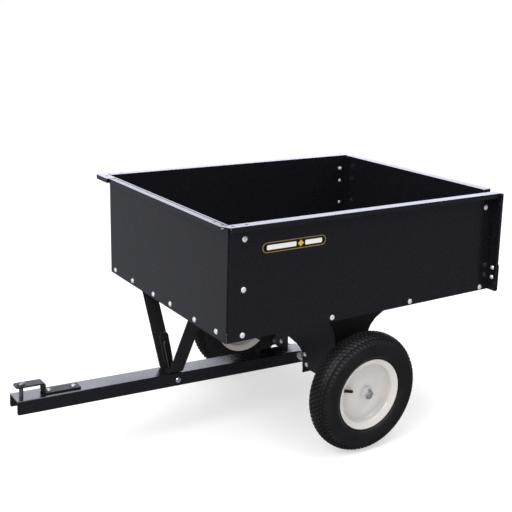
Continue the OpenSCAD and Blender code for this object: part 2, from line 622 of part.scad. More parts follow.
// section of one pressed rim half: radius, height
module rim_half() rotate_extrude($fn = 96) polygon([
  [120,35.7],[117.5,34.7],[106.5,34.5],[104,33.5],[103,31.5],[103,8],[100.5,2.5],
  [95,0],[84,0],[75,1],[55,6.5],[35.5,12],[hub_r,12],[hub_r,14.5],[36,14.5],[56,9],
  [76,3.5],[84,2.5],[94,2.5],[98.5,4.5],[100.5,9],[100.5,33.1],[101.6,35.5],
  [104.5,37],[119,37],[120,36.5]]);
module rim_outer(side) color(CREAM) on_wheel(side) difference() {
  rim_half();
  rotate([0,0,-valve_deg]) translate([96,0,valve_z]) rotate([0,90,0])
    cylinder(r = 6, h = 14, $fn = 36);
}
module rim_inner(side) color(CREAM) on_wheel(side) mirror([0,0,1]) rim_half();
module left_rim_outer() rim_outer(1);
module right_rim_outer() rim_outer(-1);
module left_rim_inner() rim_inner(1);
module right_rim_inner() rim_inner(-1);

module hub(side) color(CREAM) on_wheel(side) translate([0,0,hub_y-wheel_y]) difference() {
  translate([0,0,hub_low]) cylinder(r = hub_r, h = hub_high-hub_low, $fn = 64);
  translate([0,0,hub_low-1]) cylinder(r = hub_bore_r, h = 80, $fn = 64);
}
module left_hub() hub(1);
module right_hub() hub(-1);

// flanged bushing in each end of the hub
module bushing() difference() {
  union() {
    translate([0,0,-24]) cylinder(r = hub_bore_r, h = 24.01, $fn = 64);
    cylinder(r = hub_r, h = 3, $fn = 64);
  }
  translate([0,0,-25]) cylinder(r = axle_r+axle_gap, h = 30, $fn = 64);
}
module bushings(side) color(STEEL) on_wheel(side) translate([0,0,hub_y-wheel_y]) {
  translate([0,0,hub_high]) bushing();
  translate([0,0,hub_low]) mirror([0,0,1]) bushing();
}
module left_bushings() bushings(1);
module right_bushings() bushings(-1);

// section: stem radius, minus the distance from the wheel's axis
module valve(side) color(RUBBER) on_wheel(side) rotate([0,0,-valve_deg])
  translate([0,0,valve_z]) rotate([0,-90,0]) rotate_extrude($fn = 36) polygon([
    [0,-106.5],[7.2,-106.5],[7.2,-103.3],[5.9,-103.3],[5.9,-99.9],[7.1,-99.9],
    [6.8,-96],[5.4,-93],[4.9,-71],[5.2,-70.4],[5.2,-61],[4.2,-60],[0,-60]]);
module left_valve() valve(1);
module right_valve() valve(-1);

// ---- assembly -----------------------------------------------------------
tongue_beam();
hitch_strap();
hitch_bolts();
hitch_pin();
latch_bolt();
pivot_sleeve();
latch_lever();
latch_spring();
lever_bolt();
bed_floor();
front_panel();
left_panel();
right_panel();
front_bolts();
left_bolts();
right_bolts();
floor_bolts();
left_gate_guide();
right_gate_guide();
guide_rivets();
left_gate_bracket();
right_gate_bracket();
bracket_bolts();
left_rim_gusset();
right_rim_gusset();
rim_bolts();
rim_nuts();
latch_stand();
support_front();
support_rear();
left_side_plate();
right_side_plate();
left_axle_hanger();
right_axle_hanger();
hanger_bolts();
tab_bolts();
badge_plate();
axle();
wheel_spacers();
axle_collars();
axle_washers();
axle_nuts();
cotter_pins();
tailgate();
left_tyre();
left_rim_outer();
left_rim_inner();
left_hub();
left_bushings();
left_valve();
right_tyre();
right_rim_outer();
right_rim_inner();
right_hub();
right_bushings();
right_valve();
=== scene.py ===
# A two-wheeled towed cart: a black bed with a badge on its left side, a tailgate and a hitch.
# Metres: +X is forward, the left wheel is at +Y, +Z is up and the floor is at z = 0.
import json
import math
import bpy
import bmesh
from mathutils import Vector, Matrix


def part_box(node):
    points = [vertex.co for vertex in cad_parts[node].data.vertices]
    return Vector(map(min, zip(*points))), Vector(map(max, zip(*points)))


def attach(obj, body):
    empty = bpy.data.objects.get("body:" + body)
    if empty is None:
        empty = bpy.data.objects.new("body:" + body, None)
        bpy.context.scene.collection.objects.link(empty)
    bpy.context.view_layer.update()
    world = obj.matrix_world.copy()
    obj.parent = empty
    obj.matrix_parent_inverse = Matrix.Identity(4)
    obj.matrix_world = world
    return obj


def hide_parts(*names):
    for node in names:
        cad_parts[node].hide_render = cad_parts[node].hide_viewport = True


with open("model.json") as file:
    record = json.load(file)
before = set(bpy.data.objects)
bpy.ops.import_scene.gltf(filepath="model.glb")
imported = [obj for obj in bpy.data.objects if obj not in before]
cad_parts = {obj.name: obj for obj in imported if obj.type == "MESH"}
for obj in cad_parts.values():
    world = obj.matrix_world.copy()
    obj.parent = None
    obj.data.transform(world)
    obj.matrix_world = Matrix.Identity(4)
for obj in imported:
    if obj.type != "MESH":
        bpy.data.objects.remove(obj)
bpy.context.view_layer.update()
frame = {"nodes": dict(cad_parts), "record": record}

NODES = frame["nodes"]
TYRE_LO, TYRE_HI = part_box("left_tyre")
AXLE = Vector(((TYRE_LO.x + TYRE_HI.x) / 2, 0.0, (TYRE_LO.z + TYRE_HI.z) / 2))
WHEEL_Y = (TYRE_LO.y + TYRE_HI.y) / 2
MM = 0.001                                  # the wheel profiles are in millimetres
HANDS = {1: "left", -1: "right"}            # sign of Y to side name
scene = bpy.context.scene
scene.view_settings.view_transform = "Standard"
scene.view_settings.look = "None"


def wheel_centre(side):
    return (AXLE.x, side * WHEEL_Y, AXLE.z)


# ---------------------------------------------------------------- node graphs
class Graph:
    """Short ways to add and join the nodes of any tree."""

    def __init__(self, tree):
        self.tree = tree

    def node(self, kind, **settings):
        node = self.tree.nodes.new(kind)
        for key, value in settings.items():
            setattr(node, key, value)
        return node

    def link(self, source, target):
        self.tree.links.new(source, target)

    def put(self, socket, value):
        """Link a socket, or set a number, a vector or an (r, g, b) tuple."""
        if hasattr(value, "is_output"):
            self.link(value, socket)
        elif isinstance(value, tuple):
            socket.default_value = (*value, 1.0)
        else:
            socket.default_value = value

    def math(self, operation, a, b=None, clamp=False):
        node = self.node("ShaderNodeMath", operation=operation, use_clamp=clamp)
        self.put(node.inputs[0], a)
        if b is not None:
            self.put(node.inputs[1], b)
        return node.outputs[0]

    def dot(self, a, b):
        node = self.node("ShaderNodeVectorMath", operation="DOT_PRODUCT")
        self.put(node.inputs[0], a)
        self.put(node.inputs[1], b)
        return node.outputs["Value"]

    def mix(self, share, a, b):
        node = self.node("ShaderNodeMix", data_type="RGBA")
        self.put(node.inputs[0], share)
        self.put(node.inputs[6], a)
        self.put(node.inputs[7], b)
        return node.outputs[2]

    def map_range(self, value, source, target, interpolation="LINEAR"):
        node = self.node("ShaderNodeMapRange", interpolation_type=interpolation)
        self.put(node.inputs[0], value)
        for i, limit in enumerate((*source, *target)):
            node.inputs[i + 1].default_value = limit
        return node.outputs[0]

    def split(self, vector):
        node = self.node("ShaderNodeSeparateXYZ")
        self.link(vector, node.inputs[0])
        return node.outputs


class Surface(Graph):
    """A new material with one Principled shader."""

    def __init__(self, name):
        self.material = bpy.data.materials.new(name)
        self.material.use_nodes = True
        super().__init__(self.material.node_tree)
        self.tree.nodes.clear()
        self.output = self.node("ShaderNodeOutputMaterial")
        self.shader = self.node("ShaderNodeBsdfPrincipled")
        self.link(self.shader.outputs[0], self.output.inputs[0])
        self.coords = self.object_coords()
        self.normal = None

    def object_coords(self):
        return self.node("ShaderNodeTexCoord").outputs["Object"]

    def set(self, **values):
        for key, value in values.items():
            self.put(self.shader.inputs[key.replace("_", " ")], value)

    def noise(self, scale, detail, rough, distortion=0.0):
        node = self.node("ShaderNodeTexNoise")
        node.inputs["Scale"].default_value = scale
        node.inputs["Detail"].default_value = detail
        node.inputs["Roughness"].default_value = rough
        node.inputs["Distortion"].default_value = distortion
        self.link(self.coords, node.inputs["Vector"])
        return node.outputs["Fac"]

    def ramp(self, value, stops):
        """stops: (position, grey level or colour)"""
        node = self.node("ShaderNodeValToRGB")
        self.link(value, node.inputs["Fac"])
        elements = node.color_ramp.elements
        while len(elements) > 1:
            elements.remove(elements[-1])
        for i, (position, colour) in enumerate(stops):
            element = elements.new(position) if i else elements[0]
            element.position = position
            rgb = colour if isinstance(colour, tuple) else (colour,) * 3
            element.color = (*rgb, 1.0)
        return node.outputs["Color"]

    def bump(self, height, strength, distance):
        """Add a bump layer over those already there; distance in metres."""
        node = self.node("ShaderNodeBump")
        node.inputs["Strength"].default_value = strength
        node.inputs["Distance"].default_value = distance
        self.link(height, node.inputs["Height"])
        if self.normal is not None:
            self.link(self.normal, node.inputs["Normal"])
        self.normal = node.outputs["Normal"]
        self.link(self.normal, self.shader.inputs["Normal"])

    def edges(self, radius):
        """1 on convex and concave edges, 0 on flats"""
        bevel = self.node("ShaderNodeBevel", samples=4)
        bevel.inputs["Radius"].default_value = radius
        geometry = self.node("ShaderNodeNewGeometry")
        facing = self.dot(bevel.outputs[0], geometry.outputs["True Normal"])
        turn = self.math("SUBTRACT", 1.0, facing)
        return self.map_range(turn, source=(0.02, 0.25), target=(0.0, 1.0))


# ---------------------------------------------------------------- materials
def powder(name, base, rough, coat, peel, dust, wear, spec=0.5):
    """Powder coat: orange peel, faint dust and scuffs, brighter worn edges."""
    def lighter(gain, lift):
        return tuple(min(1.0, c * gain + lift) for c in base)

    m = Surface(name)
    cloud = m.noise(scale=6.0, detail=5.0, rough=0.6)
    mottle = m.noise(scale=38.0, detail=4.0, rough=0.6)
    grain = m.noise(scale=900.0, detail=2.0, rough=0.5)
    orange_peel = m.noise(scale=330.0, detail=2.0, rough=0.45)
    streaks = m.noise(scale=70.0, detail=6.0, rough=0.7, distortion=1.4)
    dusty = m.ramp(m.math("MULTIPLY", cloud, mottle), [(0.22, 0.0), (0.5, 1.0)])
    colour = m.mix(m.math("MULTIPLY", dusty, dust * 4), base, lighter(gain=1.35, lift=0.010))
    scuffs = m.ramp(streaks, [(0.60, 0.0), (0.66, 1.0)])
    colour = m.mix(m.math("MULTIPLY", scuffs, dust), colour, lighter(gain=1.6, lift=0.02))
    worn = m.math("MULTIPLY", m.edges(radius=0.0011), wear * 0.25)
    colour = m.mix(worn, colour, lighter(gain=1.9, lift=0.03))
    m.set(Base_Color=colour, Specular_IOR_Level=spec)
    # roughness: half its value of mottling either way, and duller scuffs
    uneven = m.math("MULTIPLY", m.math("SUBTRACT", mottle, 0.5), rough * 0.5)
    total = m.math("ADD", rough, uneven)
    total = m.math("ADD", total, m.math("MULTIPLY", scuffs, 0.10), clamp=True)
    m.set(Roughness=total, Coat_Weight=coat, Coat_Roughness=0.10)
    m.bump(orange_peel, strength=peel, distance=0.0006)
    m.bump(grain, strength=peel * 0.35, distance=0.00015)
    return m


def metal(name, base, rough, metallic, warm=0.04):
    """Plated or bare steel: a cloudy tint, warm in places, and fine brushing."""
    m = Surface(name)
    cloud = m.noise(scale=60.0, detail=5.0, rough=0.65)
    brushing = m.noise(scale=540.0, detail=3.0, rough=0.6)
    grain = m.noise(scale=1500.0, detail=2.0, rough=0.5)
    darker = tuple(c * 0.82 for c in base)
    warmer = (min(1, base[0] + warm), base[1] + warm * 0.7, base[2] - warm * 0.5)
    colour = m.ramp(cloud, [(0.25, darker), (0.5, base), (0.78, warmer)])
    colour = m.mix(m.math("MULTIPLY", brushing, 0.18), colour, (0.30, 0.30, 0.31))
    m.set(Base_Color=colour, Metallic=metallic,
          Roughness=m.map_range(brushing, source=(0.25, 0.75),
                                target=(rough * 0.75, min(1.0, rough * 1.35))))
    m.bump(brushing, strength=0.10, distance=0.0003)
    m.bump(grain, strength=0.08, distance=0.00008)
    return m


def rubber(name, base, rough, centre=None):
    """Black rubber; with a wheel centre it gets faint moulding rings round the axle."""
    m = Surface(name)
    cloud = m.noise(scale=14.0, detail=5.0, rough=0.6)
    speckle = m.noise(scale=260.0, detail=4.0, rough=0.6)
    grain = m.noise(scale=1400.0, detail=2.0, rough=0.5)
    grey = tuple(min(1.0, c * 1.6 + 0.003) for c in base)
    colour = m.mix(m.ramp(cloud, [(0.35, 0.0), (0.75, 0.55)]), base, grey)
    specks = m.ramp(speckle, [(0.55, 0.0), (0.8, 1.0)])
    colour = m.mix(m.math("MULTIPLY", specks, 0.30), colour, grey)
    if centre is not None:
        ring_pitch = 0.0022
        x, _, z = m.split(m.coords)
        dx = m.math("SUBTRACT", x, centre[0])
        dz = m.math("SUBTRACT", z, centre[2])
        square = m.math("ADD", m.math("MULTIPLY", dx, dx), m.math("MULTIPLY", dz, dz))
        phase = m.math("MULTIPLY", m.math("SQRT", square), 2 * math.pi / ring_pitch)
        m.bump(m.math("SINE", phase), strength=0.10, distance=0.00012)
    m.set(Base_Color=colour, Specular_IOR_Level=0.30,
          Roughness=m.map_range(cloud, source=(0.3, 0.7),
                                target=(rough * 0.9, min(1, rough * 1.12))))
    m.bump(speckle, strength=0.16, distance=0.0005)
    m.bump(grain, strength=0.20, distance=0.00015)
    return m


BLACK_PAINT = dict(base=(0.0062, 0.0062, 0.0085), rough=0.27, peel=0.03, dust=0.012, wear=0.30)
TYRE_BLACK = (0.0065, 0.0065, 0.0072)

BLACK = powder("black_coat", coat=0.20, **BLACK_PAINT)
SATIN = powder("satin_black", base=(0.0095, 0.0095, 0.0105), rough=0.50, coat=0.0, peel=0.10,
               dust=0.03, wear=0.4, spec=0.32)
CREAM = powder("cream_coat", base=(0.575, 0.55, 0.53), rough=0.17, coat=0.5, peel=0.02,
               dust=0.012, wear=0.02)
ZINC = metal("zinc_plate", base=(0.90, 0.91, 0.93), rough=0.22, metallic=0.50)
BRIGHT = metal("bright_zinc", base=(0.80, 0.83, 0.85), rough=0.16, warm=0.02, metallic=0.88)
DULL = metal("dull_zinc", base=(0.42, 0.43, 0.46), rough=0.34, warm=0.03, metallic=0.8)
DARK = metal("oiled_steel", base=(0.16, 0.16, 0.18), rough=0.36, warm=0.01, metallic=0.7)
STEEL = metal("bare_steel", base=(0.52, 0.52, 0.53), rough=0.38, warm=0.02, metallic=0.75)
TYRES = {side: rubber("tyre_rubber_" + hand, base=TYRE_BLACK, rough=0.50,
                      centre=wheel_centre(side)) for side, hand in HANDS.items()}
VALVE = rubber("valve_rubber", base=(0.010, 0.010, 0.010), rough=0.45)
GOLD = powder("badge_gold", base=(0.25, 0.165, 0.055), rough=0.34, coat=0.2, peel=0.04,
              dust=0.03, wear=0.2)
BADGE = powder("badge_black", base=(0.0022, 0.0022, 0.0024), rough=0.30, coat=0.1, peel=0.03,
               dust=0.03, wear=0.1)
PALE = powder("badge_pale", base=(0.70, 0.69, 0.66), rough=0.35, coat=0.2, peel=0.05,
              dust=0.03, wear=0.1)


def front_paint_with_shade_line():
    """Black paint with a painted shade line: its reflection is switched off along one line of the
    front panel's folded flange.
    """
    shade_line_offset, half_width = 0.0300, 0.0030    # ahead of the panel's middle
    m = powder("black_coat_front", coat=0.0, **BLACK_PAINT)
    panel_lo, panel_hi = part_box("front_panel")
    shade_line_x = (panel_lo.x + panel_hi.x) / 2 + shade_line_offset
    x = m.split(m.object_coords())[0]
    away = m.math("ABSOLUTE", m.math("SUBTRACT", x, shade_line_x))
    # painted shade: no reflection near this line, so the flange shows a dark crease line
    m.set(Specular_IOR_Level=m.map_range(away, source=(half_width * 0.4, half_width),
                                         target=(0.0, 0.5), interpolation="SMOOTHSTEP"))
    return m


def rivet_metal():
    """Bright rivet heads inside the bed, painted over on the outside."""
    inset = 0.0009                              # from the badge's back to the paint line
    m = metal("rivet_head", base=(0.85, 0.86, 0.88), rough=0.25, metallic=0.5)
    y = m.split(m.object_coords())[1]
    outside = m.math("GREATER_THAN", m.math("ABSOLUTE", y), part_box("badge_plate")[0].y - inset)
    paint = m.node("ShaderNodeBsdfPrincipled")
    m.put(paint.inputs["Base Color"], BLACK_PAINT["base"])
    m.put(paint.inputs["Roughness"], BLACK_PAINT["rough"])
    blend = m.node("ShaderNodeMixShader")
    m.link(outside, blend.inputs[0])
    m.link(m.shader.outputs[0], blend.inputs[1])
    m.link(paint.outputs[0], blend.inputs[2])
    m.link(blend.outputs[0], m.output.inputs[0])
    return m


def give(obj, surface):
    if not obj.material_slots:
        obj.data.materials.append(surface.material)
    for slot in obj.material_slots:
        slot.link = "OBJECT"
        slot.material = surface.material


# ------------------------------------------------------ finish of the CAD pieces
SLOT_SURFACES = {"black_coat": BLACK, "satin_black": SATIN, "zinc": ZINC, "steel": STEEL,
                 "cream_coat": CREAM, "valve_rubber": VALVE, "badge_gold": GOLD}
# folded sheet pieces, which get softened edges
SHEETS = {"tongue_beam", "hitch_strap", "bed_floor", "front_panel", "latch_stand",
          "support_front", "support_rear", "tailgate", "latch_lever"}
SHEETS |= {hand + part for hand in HANDS.values()
           for part in ("_panel", "_gate_guide", "_gate_bracket", "_rim_gusset",
                        "_side_plate", "_axle_hanger")}
SMOOTH_DEGREES = 32
WELD_DISTANCE = 0.000012
SHEET_BEVEL = 0.0005


def smooth_group(degrees):
    """Geometry nodes that shade smooth wherever faces meet below an angle."""
    tree = bpy.data.node_groups.new("smooth_by_angle_%d" % degrees, "GeometryNodeTree")
    for direction in ("INPUT", "OUTPUT"):
        tree.interface.new_socket("Geometry", in_out=direction,
                                  socket_type="NodeSocketGeometry")
    g = Graph(tree)
    start = g.node("NodeGroupInput")
    end = g.node("NodeGroupOutput")
    faces = g.node("GeometryNodeSetShadeSmooth", domain="FACE")
    edges = g.node("GeometryNodeSetShadeSmooth", domain="EDGE")
    angle = g.node("GeometryNodeInputMeshEdgeAngle")
    shallow = g.node("FunctionNodeCompare", data_type="FLOAT", operation="LESS_EQUAL")
    shallow.inputs[1].default_value = math.radians(degrees)
    g.link(start.outputs[0], faces.inputs[0])
    g.link(faces.outputs[0], edges.inputs[0])
    g.link(angle.outputs["Unsigned Angle"], shallow.inputs[0])
    g.link(shallow.outputs[0], edges.inputs["Shade Smooth"])
    g.link(edges.outputs[0], end.inputs[0])
    return tree


SMOOTH = smooth_group(SMOOTH_DEGREES)


def add_smoothing(obj):
    obj.modifiers.new("smooth", "NODES").node_group = SMOOTH


def finish_mesh(obj, is_sheet):
    """Weld and smooth a CAD piece, and bevel it if it is a sheet."""
    obj.modifiers.new("weld", "WELD").merge_threshold = WELD_DISTANCE
    if is_sheet:
        bevel = obj.modifiers.new("edges", "BEVEL")
        bevel.width = SHEET_BEVEL
        bevel.segments = 2
        bevel.limit_method = "ANGLE"
        bevel.angle_limit = math.radians(40)
        bevel.use_clamp_overlap = True
        bevel.harden_normals = False
    add_smoothing(obj)
    if is_sheet:
        normals = obj.modifiers.new("normals", "WEIGHTED_NORMAL")
        normals.mode = "FACE_AREA"
        normals.keep_sharp = True
        normals.weight = 100


def finish_cad():
    slot_of = {part["node"]: part["material_slot"] for part in frame["record"]["subparts"]}
    for name, obj in NODES.items():
        if obj.data.has_custom_normals:
            bpy.context.view_layer.objects.active = obj
            with bpy.context.temp_override(object=obj, active_object=obj,
                                           selected_objects=[obj]):
                bpy.ops.mesh.customdata_custom_splitnormals_clear()
        surface = SLOT_SURFACES.get(slot_of[name])
        if surface:
            give(obj, surface)
    # finishes that differ from their slot's usual one
    # the front panel's paint carries a painted shade line along its folded flange
    for name, surface in (("hitch_pin", DARK), ("hitch_bolts", DULL), ("latch_spring", DARK),
                          ("axle_nuts", BRIGHT), ("latch_bolt", BRIGHT),
                          ("front_panel", front_paint_with_shade_line()), ("guide_rivets", rivet_metal())):
        give(NODES[name], surface)
    for name, obj in NODES.items():
        finish_mesh(obj, name in SHEETS)


finish_cad()


# ------------------------------------------------------------- mesh helpers
def mesh_obj(name, verts, faces, smooth=True):
    mesh = bpy.data.meshes.new(name)
    mesh.from_pydata([tuple(v) for v in verts], [], faces)
    mesh.validate()
    bm = bmesh.new()
    bm.from_mesh(mesh)
    bmesh.ops.recalc_face_normals(bm, faces=bm.faces)
    bm.to_mesh(mesh)
    bm.free()
    for polygon in mesh.polygons:
        polygon.use_smooth = smooth
    obj = bpy.data.objects.new(name, mesh)
    scene.collection.objects.link(obj)
    return obj


def fillet(points, radii, steps):
    """Round the corners of a closed outline; near-straight corners stay as they are."""
    out = []
    for i, (point, radius) in enumerate(zip(points, radii)):
        corner = Vector(point)
        back = Vector(points[i - 1]) - corner
        ahead = Vector(points[(i + 1) % len(points)]) - corner
        back_length, ahead_length = back.length, ahead.length
        back.normalize()
        ahead.normalize()
        angle = math.acos(max(-1, min(1, back.dot(ahead))))
        if radius <= 0 or angle > math.radians(176):
            out.append(corner)
            continue
        cut = min(radius / math.tan(angle / 2), back_length * 0.48, ahead_length * 0.48)
        start, end = corner + back * cut, corner + ahead * cut
        for k in range(steps + 1):
            t = k / steps
            out.append(start.lerp(corner, t).lerp(corner.lerp(end, t), t))
    return out


def wheel_point(side, radius, offset, angle):
    """Radius and outward offset in metres, turned about the axle."""
    x, y, z = wheel_centre(side)
    return (x + radius * math.cos(angle), y + side * offset, z + radius * math.sin(angle))


def revolve(name, profile, side, segments):
    """Turn a closed list of (radius, outward offset) about the axle."""
    count = len(profile)
    verts = [wheel_point(side, radius, offset, 2 * math.pi * k / segments)
             for k in range(segments) for radius, offset in profile]
    faces = []
    for k in range(segments):
        here, following = k * count, (k + 1) % segments * count
        for i in range(count):
            j = (i + 1) % count
            faces.append((here + i, here + j, following + j, following + i))
    return mesh_obj(name, verts, faces)


def fit_wheel_part(obj, side, surface):
    give(obj, surface)
    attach(obj, HANDS[side] + "_wheel")
    add_smoothing(obj)


# ---------------------------------------------------------------------- rims
# one rim half, mm: (radius, offset from the wheel's mid plane, corner radius)
RIM = [
    (120, 35.6, 1), (117.6, 34.0, 0), (110.5, 29.6, 1), (105, 26.2, 3),
    (103, 23.5, 3), (103, 8, 14), (100.5, 2.5, 14), (95, 0.05, 0),
    (84, 0.05, 14), (75, 1, 14), (55, 6.5, 14), (35.5, 12, 14),
    (18.02, 12, 0), (18.02, 14.5, 0), (36, 14.5, 14), (56, 9, 14),
    (76, 3.5, 14), (84, 2.5, 14), (94, 2.5, 14), (98.5, 4.5, 14),
    (100.5, 9, 14), (100.6, 23.5, 8), (103.2, 27.6, 8), (109.5, 31.6, 8),
    (116.4, 35.9, 1), (117.6, 37, 1), (119, 37, 1), (120, 36.5, 1),
]


def rim_half(side, half):
    """Pressed rim half, "outer" or "inner": rolled lip, bead seat, well and a domed disc."""
    facing = 1 if half == "outer" else -1
    points = [(radius * MM, offset * MM * facing) for radius, offset, _ in RIM]
    outline = fillet(points, [corner * MM for _, _, corner in RIM], steps=6)
    cad_name = HANDS[side] + "_rim_" + half
    rim = revolve(cad_name + "_skin", outline, side, segments=192)
    fit_wheel_part(rim, side, CREAM)
    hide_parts(cad_name)


# --------------------------------------------------------------------- tyres
CROWN_RADIUS = 201.5
# outside of the tyre from bead to crown, mm: (radius, offset from the mid plane)
TYRE_OUT = [
    (119, 33.0), (121.6, 32.4), (124.4, 37.6), (128.2, 41.8), (134, 45.6), (143, 48.2),
    (152, 48.8), (162, 48), (172, 45.3), (180, 41.3), (187, 36), (192, 30.4),
    (196, 24.2), (199, 17.1), (200.8, 9.8), (CROWN_RADIUS, 0),
]
# inside of the casing from bead towards crown, same columns
TYRE_IN = [
    (104, 22.7), (112, 26.6), (126, 33), (140, 39.2), (152, 41), (162, 40.2),
    (172, 37.4), (180, 32.6), (186, 26), (190, 15),
]
CROWN_INSIDE = (191.5, 0)
# underside of the bead, same columns
BEAD = [(117.0, 33.0), (110.3, 28.9), (104.6, 25.4), (103.2, 23.2)]
# raised bands on the sidewall, mm: (arc length from the crown, width, height)
BANDS = ((84.0, 1.2, 0.6), (93.0, 0.9, 0.5))
BAND_MAX_RADIUS = 150

TREAD = 50.0            # half of the tread's arc width, mm
FADE_IN, FADE_OUT = 8, 7    # the groove floor fades out over this span about TREAD, mm
DEPTH = 4.2             # groove depth, mm
ROOT = -DEPTH - 0.6     # foot of a block, sunk below the groove floor, mm
BLOCKS_ROUND = 78
ROW_PITCH = 11.0        # between diamond rows, mm
LUG_DROP = 0.4          # lugs stand this much lower than the outer profile, mm
# block outlines as shares of half width across and half length round the tyre
DIAMOND = [(0, 1.0), (0.55, 0.62), (1.0, 0.0), (0.55, -0.62),
           (0, -1.0), (-0.55, -0.62), (-1.0, 0.0), (-0.55, 0.62)]
LUG = [(-1.0, 0.95), (0.0, 1.0), (1.0, 0.62), (1.0, 0.0),
       (1.0, -0.62), (0.0, -1.0), (-1.0, -0.95), (-1.0, 0.0)]


def spline(points, steps):
    """Catmull-Rom curve through the points, mirrored at its crown end."""
    p = [Vector(point) for point in points]
    p = [p[0] * 2 - p[1]] + p + [Vector((p[-2].x, -p[-2].y))]
    out = []
    for i in range(1, len(p) - 2):
        a, b, c, d = p[i - 1:i + 3]
        for k in range(steps):
            t = k / steps
            out.append(0.5 * ((2 * b) + (c - a) * t + (2 * a - 5 * b + 4 * c - d) * t * t
                              + (3 * b - a - 3 * c + d) * t ** 3))
    out.append(p[-2])
    return out


# whole outside from the outer bead to the inner bead, and its arc length from the crown
HALF = [(min(p.x, CROWN_RADIUS), p.y) for p in spline(TYRE_OUT, steps=6)]
OUTER = HALF + [(radius, -offset) for radius, offset in reversed(HALF[:-1])]
CROWN = len(HALF) - 1
ARC = [0.0] * len(OUTER)
for i in range(CROWN - 1, -1, -1):
    ARC[i] = ARC[i + 1] + math.dist(OUTER[i], OUTER[i + 1])
for i in range(CROWN + 1, len(OUTER)):
    ARC[i] = ARC[i - 1] - math.dist(OUTER[i], OUTER[i - 1])


def at_arc(arc):
    """(radius, offset) of the outside at a signed arc length, mm"""
    i = next(i for i in range(len(OUTER) - 1) if ARC[i] >= arc >= ARC[i + 1])
    share = (ARC[i] - arc) / (ARC[i] - ARC[i + 1])
    return Vector(OUTER[i]).lerp(Vector(OUTER[i + 1]), share)


def normal_at(arc):
    """Outward normal of the outside, from two points close on either side."""
    reach, margin = 0.6, 0.01
    upper = at_arc(min(arc + reach, ARC[0] - margin))
    lower = at_arc(max(arc - reach, ARC[-1] + margin))
    along = (lower - upper).normalized()
    normal = Vector((-along.y, along.x))
    outward = normal.x + normal.y * (1 if upper.y > 0 else -1)
    return normal if outward > 0 else -normal


def groove_depth(arc):
    """How far the groove floor lies below the outside, mm"""
    fade_start = TREAD - FADE_IN
    if abs(arc) <= fade_start:
        return DEPTH
    if abs(arc) >= TREAD + FADE_OUT:
        return 0.0
    t = (abs(arc) - fade_start) / (FADE_IN + FADE_OUT)
    return DEPTH * (1 - (3 * t * t - 2 * t ** 3))


def carcass(side):
    """Hollow casing with the groove floor and the raised sidewall bands."""
    profile = []
    for (radius, offset), arc in zip(OUTER, ARC):
        sink = groove_depth(arc)
        if radius < BAND_MAX_RADIUS:
            sink -= sum(height * math.exp(-((abs(arc) - middle) / width) ** 2)
                        for middle, width, height in BANDS)
        profile.append(Vector((radius, offset)) - normal_at(arc) * sink)
    profile += [(radius, -offset) for radius, offset in BEAD + TYRE_IN]
    profile += [CROWN_INSIDE, *reversed(TYRE_IN), *reversed(BEAD)]
    profile = [(radius * MM, offset * MM) for radius, offset in profile]
    return revolve(HANDS[side] + "_tyre_carcass", profile, side, segments=216)


def block_points(arc, half_width, half_angle, shape, drop, centre_drop):
    """One block as (radius and offset in mm, angle): three rings, top and bottom centres."""
    points = []
    # ring scale and height over the outside, from the root to the top
    for scale, lift in ((1.12, ROOT), (1.02, -0.9 - drop), (0.90, -drop)):
        for across, along in shape:
            place = arc + across * half_width * scale
            points.append((at_arc(place) + normal_at(place) * lift, along * half_angle * scale))
    for lift in (-centre_drop, ROOT):
        points.append((at_arc(arc) + normal_at(arc) * lift, 0.0))
    return points


def block_faces(base, count):
    top, bottom = base + 3 * count, base + 3 * count + 1
    ring = [(i, (i + 1) % count) for i in range(count)]
    faces = []
    for low in (base, base + count):
        faces += [(low + i, low + j, low + count + j, low + count + i) for i, j in ring]
    for i, j in ring:
        faces.append((base + 2 * count + i, base + 2 * count + j, top))
        faces.append((base + j, base + i, bottom))
    return faces


def tread_blocks(side):
    """Staggered diamonds on the crown and longer lugs on the shoulders."""
    pitch = 2 * math.pi / BLOCKS_ROUND
    rows = []                                   # (phase in pitches, block points)
    for i in range(7):
        rows.append((0.5 * (i % 2), block_points(
            arc=(i - 3) * ROW_PITCH, half_width=5.7, half_angle=pitch * 0.41,
            shape=DIAMOND, drop=0.0, centre_drop=0.02)))
    for sign in (-1, 1):
        rows.append((0.5, block_points(
            arc=sign * 47.0, half_width=8.2, half_angle=pitch * 0.30,
            shape=[(across * sign, along) for across, along in LUG],
            drop=LUG_DROP, centre_drop=LUG_DROP)))
    verts, faces = [], []
    for phase, points in rows:
        for k in range(BLOCKS_ROUND):
            middle = 2 * math.pi * (k + phase) / BLOCKS_ROUND
            faces += block_faces(len(verts), len(DIAMOND))
            verts += [wheel_point(side, p.x * MM, p.y * MM, middle + turn)
                      for p, turn in points]
    return mesh_obj(HANDS[side] + "_tread_blocks", verts, faces)


def tyre(side):
    casing = carcass(side)
    for obj in (casing, tread_blocks(side)):
        fit_wheel_part(obj, side, TYRES[side])
    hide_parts(HANDS[side] + "_tyre")


for side in HANDS:
    tyre(side)
    rim_half(side, "outer")
    rim_half(side, "inner")


# --------------------------------------------------------------------- badge
badge_lo, badge_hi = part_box("badge_plate")
give(NODES["badge_plate"], GOLD)
BADGE_Z = (badge_lo.z + badge_hi.z) / 2
BADGE_FACE = badge_lo.y + 0.0008
FIELD_MARGIN = 0.0023       # gold border left round the black field
BAR_HALF_HEIGHT = 0.0072
# rear and front end of each bar, measured back from the badge's front end
FRONT_BAR = (0.117, 0.015)
REAR_BAR = (0.209, 0.148)
LOZENGE_HALF = 0.0105
DEVICE_BACK = BADGE_FACE + 0.0002


def fit_badge_part(obj, surface):
    give(obj, surface)
    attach(obj, "bed")


